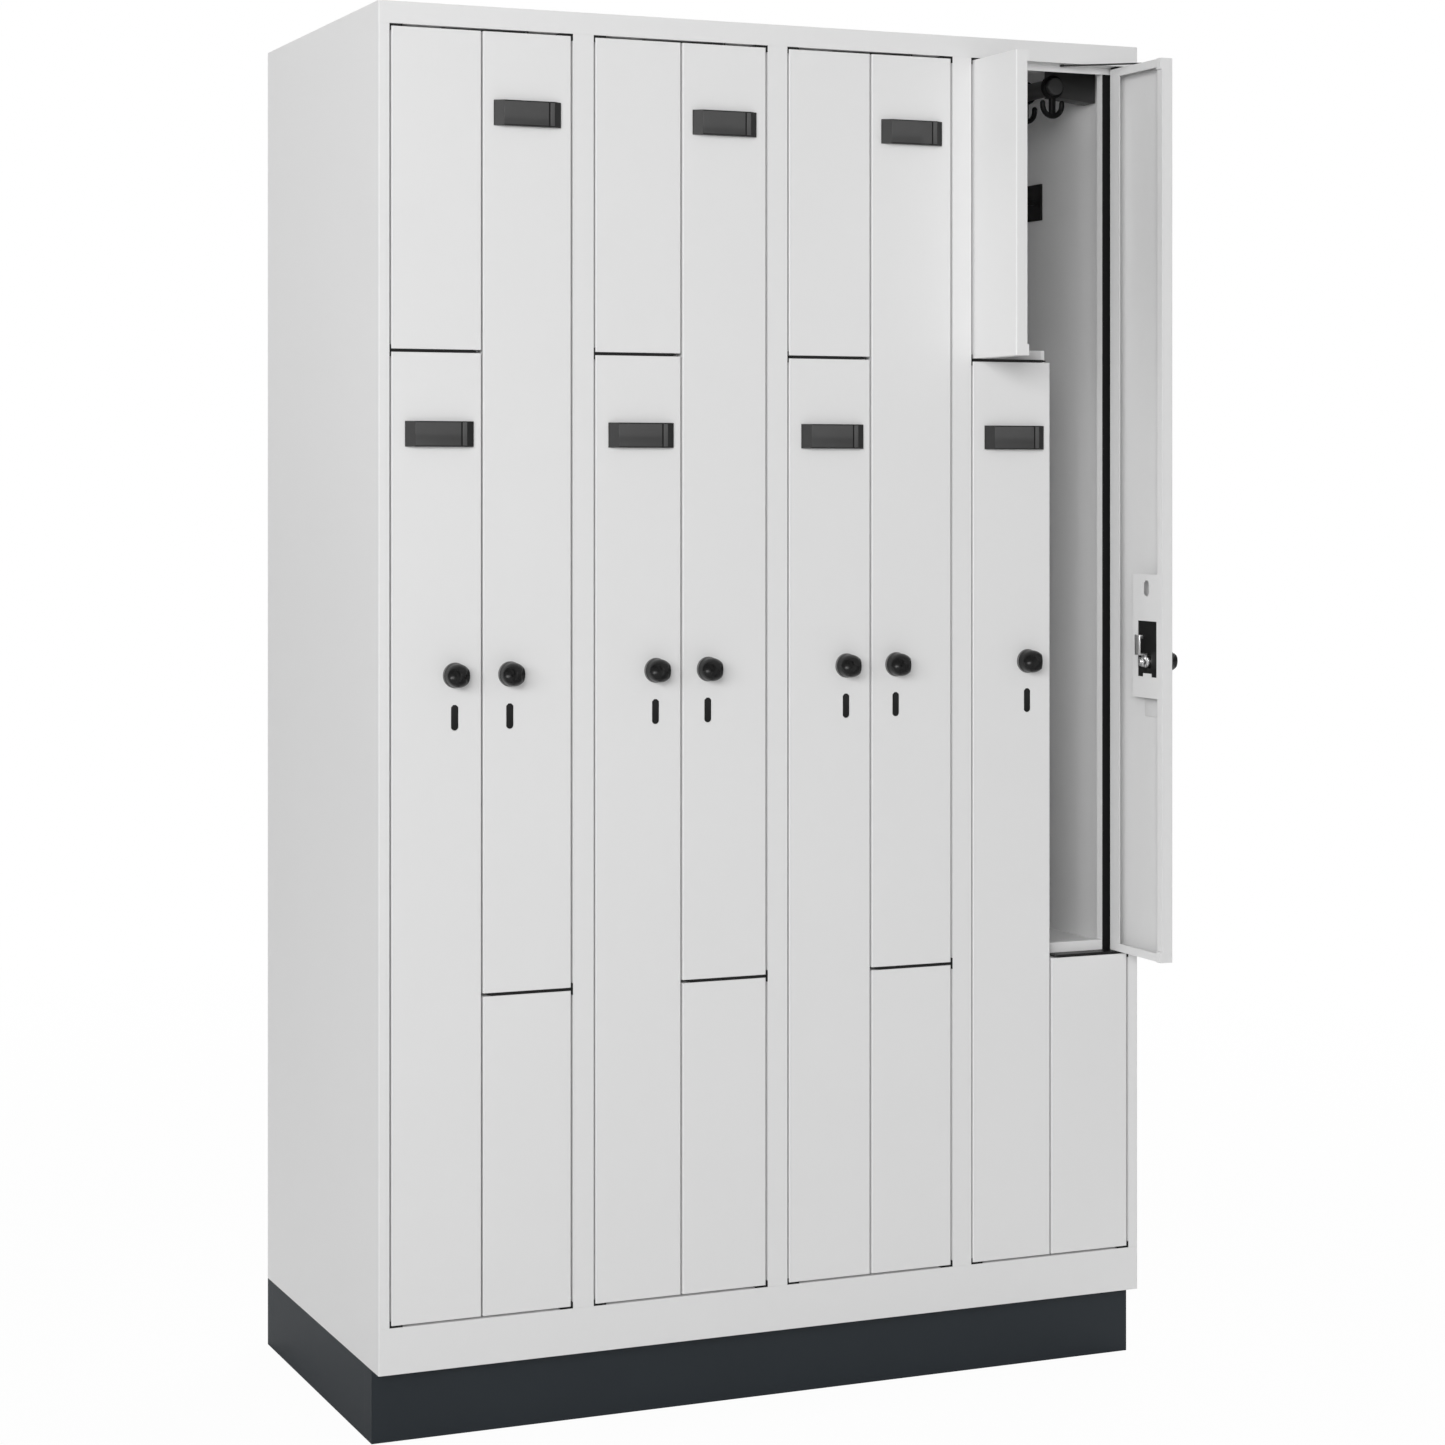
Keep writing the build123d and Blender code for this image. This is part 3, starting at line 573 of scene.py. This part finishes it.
# Black lock case with its slot insert, and the painted tab behind the insert
def lock_shapes(piece):
    """All shapes of a lock case about the knob axis."""
    inside = LEAF_FRONT + LEAF_SHEET
    behind = LEAF_BACK - LEAF_SHEET - CASE_CLEARANCE
    for low, high in (
        ((-CASE_HALF_WIDTH, -CASE_BELOW_KNOB), (CASE_HALF_WIDTH, -CASE_HOLE)),
        ((-CASE_HALF_WIDTH, CASE_HOLE), (CASE_HALF_WIDTH, CASE_ABOVE_KNOB)),
        ((-CASE_HALF_WIDTH, -CASE_HOLE), (-CASE_HOLE, CASE_HOLE)),
        ((CASE_HOLE, -CASE_HOLE), (CASE_HALF_WIDTH, CASE_HOLE)),
    ):
        piece.add(slab((low[0], inside, low[1]), (high[0], behind, high[1]), CASE_ROUND, 1))
    outline = []
    straight = SLOT_HALF_LENGTH - SLOT_HALF_WIDTH
    for middle, start in ((straight, 0), (-straight, 180)):
        for step in range(SLOT_STEPS + 1):
            turn = math.radians(start + 180 * step / SLOT_STEPS)
            outline.append((SLOT_HALF_WIDTH * math.cos(turn), middle + SLOT_HALF_WIDTH * math.sin(turn)))
    insert = prism(outline, LEAF_FRONT + CASE_CLEARANCE, inside + INSERT_THICKNESS, CASE_ROUND)
    piece.add(insert, Matrix.Translation((0, 0, -SLOT_BELOW_KNOB)))
    piece.add(
        slab(
            (-CASE_HALF_WIDTH, inside + INSERT_THICKNESS, -TAB_BELOW_KNOB),
            (CASE_HALF_WIDTH, inside + TAB_THICKNESS, -CASE_BELOW_KNOB),
            TAB_ROUND,
            2,
        ),
        slot=1,
    )


for bay in range(1, BAYS + 1):
    for kind in ("lower", "upper"):
        turn = leaf_turn(kind, bay)
        lock_place = Matrix.Translation(joints[f"{kind}_knob_turn_{bay}"]["pos_m"]) @ turn
        case = Piece(
            f"lock_case_{kind}_{bay}",
            f"{kind}_tall_door_{bay}",
            (black_plastic, body_paint),
            (f"{kind}_lock_{bay}",),
        )
        lock_shapes(case)
        case.make(lock_place)

        knob = Piece(
            f"knob_{kind}_{bay}",
            f"{kind}_turning_knob_{bay}",
            (knob_plastic, collar_plastic, bright_zinc),
            (f"{kind}_knob_{bay}",),
        )
        knob_shapes(knob)
        knob.make(lock_place)

        # The clear window and the side band of the label holder, set in by the rim so that the black holder shows
        # round them as painted shade for the gap shadow
        forward = Matrix.Translation((0, -LABEL_THICKNESS / 2, 0))
        holder = Matrix.Translation(centre(f"{kind}_label_{bay}")) @ turn @ forward
        high_z = LABEL_HALF_HEIGHT - INSERT_SHADE_RIM
        groove = LABEL_HALF - GROOVE_PLACE
        for name, near, far, material in (
            ("window", -LABEL_HALF + LABEL_SLOPE, groove - INSERT_SHADE_RIM / 2, window_plastic),
            ("band", groove + GROOVE_WIDTH + INSERT_SHADE_RIM / 2, LABEL_HALF - LABEL_SLOPE, band_plastic),
        ):
            insert = Piece(f"label_{name}_{kind}_{bay}", f"{kind}_tall_door_{bay}", (material,))
            low_corner = (near, -INSERT_THICKNESS, -high_z)
            high_corner = (far, INSERT_THICKNESS, high_z)
            insert.add(slab(low_corner, high_corner, INSERT_ROUND, 2))
            insert.make(holder)


# Coat rails with their brackets
def rail_places():
    """For each compartment: kind, bay, rail X, wall X and the way to the wall."""
    for number in range(BAYS):
        start = -SIDE + number * BAY_WIDTH
        end = start + BAY_WIDTH
        wall = end - (PANEL if number == BAYS - 1 else HALF_PARTITION)
        yield "upper", number + 1, end - RAIL_FROM_WALL, wall, 1
        wall = start + (PANEL if number == 0 else HALF_PARTITION)
        yield "lower", number + 1, start + RAIL_FROM_WALL, wall, -1


def hook_shapes(piece, at):
    """A ring round the rail, a stem and an upturned bow."""
    rim = HOOK_RIM
    inner = RAIL_RADIUS + HOOK_PLAY
    piece.add(
        turned(
            [
                (-HOOK_HALF_DEPTH + rim, inner),
                (-HOOK_HALF_DEPTH, inner + rim),
                (-HOOK_HALF_DEPTH, HOOK_RING - rim),
                (-HOOK_HALF_DEPTH + rim, HOOK_RING),
                (HOOK_HALF_DEPTH - rim, HOOK_RING),
                (HOOK_HALF_DEPTH, HOOK_RING - rim),
                (HOOK_HALF_DEPTH, inner + rim),
                (HOOK_HALF_DEPTH - rim, inner),
            ]
        ),
        at,
    )
    bottom = -HOOK_BOW_DROP - HOOK_BOW_RADIUS
    piece.add(
        slab(
            (-HOOK_STEM_HALF, -HOOK_HALF_DEPTH + HOOK_STEM_INSET, bottom),
            (HOOK_STEM_HALF, HOOK_HALF_DEPTH - HOOK_STEM_INSET, -RAIL_RADIUS - HOOK_STEM_BELOW_RAIL),
            HOOK_STEM_ROUND,
        ),
        at,
    )
    stations = [(Vector((-HOOK_BOW_RADIUS, 0, HOOK_TIP - HOOK_BOW_DROP)), Vector((0, 0, -1)))]
    for number in range(HOOK_BOW_STEPS + 1):
        turn = math.pi + math.pi * number / HOOK_BOW_STEPS
        x = HOOK_BOW_RADIUS * math.cos(turn)
        z = HOOK_BOW_RADIUS * math.sin(turn) - HOOK_BOW_DROP
        stations.append((Vector((x, 0, z)), Vector((-math.sin(turn), 0, math.cos(turn)))))
    stations.append((Vector((HOOK_BOW_RADIUS, 0, HOOK_TIP - HOOK_BOW_DROP)), Vector((0, 0, 1))))
    piece.add(swept(stations, HOOK_BOW_HALF, HOOK_HALF_DEPTH), at)


rails = Piece("rail_set", "root", (rail_plastic_painted_light,), ("coat_rails",))
stored = Piece("stored_hook_set", "root", (hook_plastic,), ("stored_hooks",))
for kind, bay, rail_x, wall, way in rail_places():
    rail_z = RAIL_HEIGHTS[kind]
    start = FRONT + RAIL_START
    tube = turned(
        [
            (start, 0),
            (start, RAIL_RADIUS - RAIL_RIM),
            (start + RAIL_RIM, RAIL_RADIUS),
            (BACK - PANEL, RAIL_RADIUS),
            (BACK - PANEL, 0),
        ]
    )
    rails.add(tube, Matrix.Translation((rail_x, 0, rail_z)))
    near = rail_x + way * (RAIL_RADIUS - BRACKET_OVERLAP)
    low = rail_z - BRACKET_BELOW_RAIL
    high = rail_z + BRACKET_ABOVE_RAIL
    bracket_start = FRONT + BRACKET_START
    rails.add(
        prism(
            [
                (near, low + BRACKET_RISE),
                (near, high),
                (wall, high),
                (wall, low),
                (wall - way * BRACKET_TOE, low),
            ],
            bracket_start,
            bracket_start + BRACKET_DEPTH,
            BRACKET_ROUND,
            3,
        )
    )
    if (kind, bay) != ("upper", BAYS):
        for place in HOOK_PLACES:
            hook_shapes(stored, Matrix.Translation((rail_x, FRONT + place, rail_z)))
rails.make()
stored.make()
for hook in ("front_hook", "rear_hook"):
    piece = Piece(f"coat_{hook}", f"{hook}_slider", (hook_plastic,), (hook,))
    middle = centre(hook)
    hook_shapes(piece, Matrix.Translation((middle.x, middle.y, RAIL_HEIGHTS["upper"])))
    piece.make()

# Door stays: a wire from an eye on the leaf to a flat bead under the top rail
downward = Matrix.Rotation(-math.pi / 2, 4, "X")
for bay in range(1, BAYS + 1):
    eye = Vector(joints[f"stay_turn_{bay}"]["pos_m"])
    track_y = FRONT + STAY_TRACK
    bead = Vector((eye.x - math.sqrt(STAY_LENGTH**2 - (track_y - eye.y) ** 2), track_y, eye.z))
    run = bead - eye
    along = Matrix.Translation(eye) @ Vector((0, 1, 0)).rotation_difference(run).to_matrix().to_4x4()
    stay = Piece(f"stay_wire_{bay}", f"stay_{bay}", (wire_black,), (f"door_stay_{bay}",))
    stay.add(turned([(0, 0), (0, STAY_WIRE), (run.length, STAY_WIRE), (run.length, 0)], 16), along)
    half = STAY_BEAD_HALF
    climbs = (-1.2, -0.8, -0.4, 0.0, 0.4, 0.8, 1.2)
    bulge = [(half * math.sin(a), STAY_BEAD * math.cos(a) ** 0.5) for a in climbs]
    stay.add(turned([(-half, 0)] + bulge + [(half, 0)], 24), Matrix.Translation(bead) @ downward)
    eye_and_pin = [
        (-STAY_EYE_HALF, 0),
        (-STAY_EYE_HALF, STAY_EYE),
        (STAY_EYE_HALF, STAY_EYE),
        (STAY_PIN_REACH, STAY_PIN),
        (STAY_PIN_REACH, 0),
    ]
    stay.add(turned(eye_and_pin, 24), Matrix.Translation(eye) @ downward)
    stay.make()


# Floor, light and camera
def lit_background():
    """White behind the object, and plain soft light on it."""
    world = bpy.data.worlds.new("studio")
    bpy.context.scene.world = world
    tree = Tree(world)
    path = tree.add("ShaderNodeLightPath")
    seen = path.outputs["Is Camera Ray"]
    for ray in ("Is Glossy Ray", "Is Transmission Ray"):
        either = tree.add("ShaderNodeMath", {"operation": "MAXIMUM"}, i0=seen, i1=path.outputs[ray])
        seen = either.outputs[0]
    light = tree.add("ShaderNodeBackground", Color=grey(1.0), Strength=AMBIENT)
    white = tree.add("ShaderNodeBackground", Color=grey(1.0), Strength=1.0)
    mixed = tree.add("ShaderNodeMixShader", i0=seen, i1=light.outputs[0], i2=white.outputs[0])
    tree.add("ShaderNodeOutputWorld", Surface=mixed.outputs[0])


def studio_floor():
    """A wide pale floor that looks white to the camera and keeps a soft shadow near the object."""
    mesh = bpy.data.meshes.new("floor")
    reach = FLOOR_REACH
    mesh.from_pydata(
        [(-reach, -reach, 0), (reach, -reach, 0), (reach, reach, 0), (-reach, reach, 0)], [], [(0, 1, 2, 3)]
    )
    floor = bpy.data.objects.new("floor", mesh)
    bpy.context.scene.collection.objects.link(floor)
    material = bpy.data.materials.new("floor_finish")
    tree = Tree(material)
    place = tree.add("ShaderNodeTexCoord").outputs["Object"]
    noise = tree.add("ShaderNodeTexNoise", Vector=place, Scale=3.0, Detail=2.0)
    colour = tree.add(
        "ShaderNodeMix", {"data_type": "RGBA"}, Factor=noise.outputs["Fac"], i6=grey(0.78), i7=grey(0.80)
    )
    matte = tree.add("ShaderNodeBsdfDiffuse", Color=colour.outputs[2])
    white = tree.add("ShaderNodeEmission", Color=grey(1.0), Strength=1.0)
    far = tree.add("ShaderNodeVectorMath", {"operation": "LENGTH"}, i0=place)
    white_share = tree.add(
        "ShaderNodeMapRange",
        Value=far.outputs["Value"],
        From_Min=FLOOR_NEAR,
        From_Max=FLOOR_FAR,
        To_Min=FLOOR_WHITE_NEAR,
        To_Max=1.0,
    )
    path = tree.add("ShaderNodeLightPath")
    share = tree.add(
        "ShaderNodeMath",
        {"operation": "MULTIPLY"},
        i0=path.outputs["Is Camera Ray"],
        i1=white_share.outputs["Result"],
    )
    mixed = tree.add("ShaderNodeMixShader", i0=share.outputs[0], i1=matte.outputs[0], i2=white.outputs[0])
    tree.add("ShaderNodeOutputMaterial", Surface=mixed.outputs[0])
    mesh.materials.append(material)


def area_light(name, place, target, size, power):
    """A large soft square lamp aimed at a point."""
    lamp = bpy.data.lights.new(name, "AREA")
    lamp.shape = "RECTANGLE"
    lamp.size = lamp.size_y = size
    lamp.energy = power
    holder = bpy.data.objects.new(name, lamp)
    holder.location = place
    holder.rotation_euler = (Vector(target) - Vector(place)).to_track_quat("-Z", "Y").to_euler()
    bpy.context.scene.collection.objects.link(holder)


def photo_camera():
    """The camera that took the photograph: level, turned to the right, with a shifted lens."""
    data = bpy.data.cameras.new("photo_camera")
    data.lens = CAMERA_LENS
    data.sensor_width = SENSOR
    data.shift_x, data.shift_y = CAMERA_SHIFT
    data.clip_end = 100.0
    camera = bpy.data.objects.new("photo_camera", data)
    camera.location = CAMERA_PLACE
    camera.rotation_euler = (math.pi / 2, 0.0, -math.radians(CAMERA_YAW_DEGREES))
    bpy.context.scene.collection.objects.link(camera)
    bpy.context.scene.camera = camera


lit_background()
studio_floor()
for name, settings in LAMPS.items():
    area_light(name, **settings)
photo_camera()
bpy.context.scene.view_settings.view_transform = "Standard"
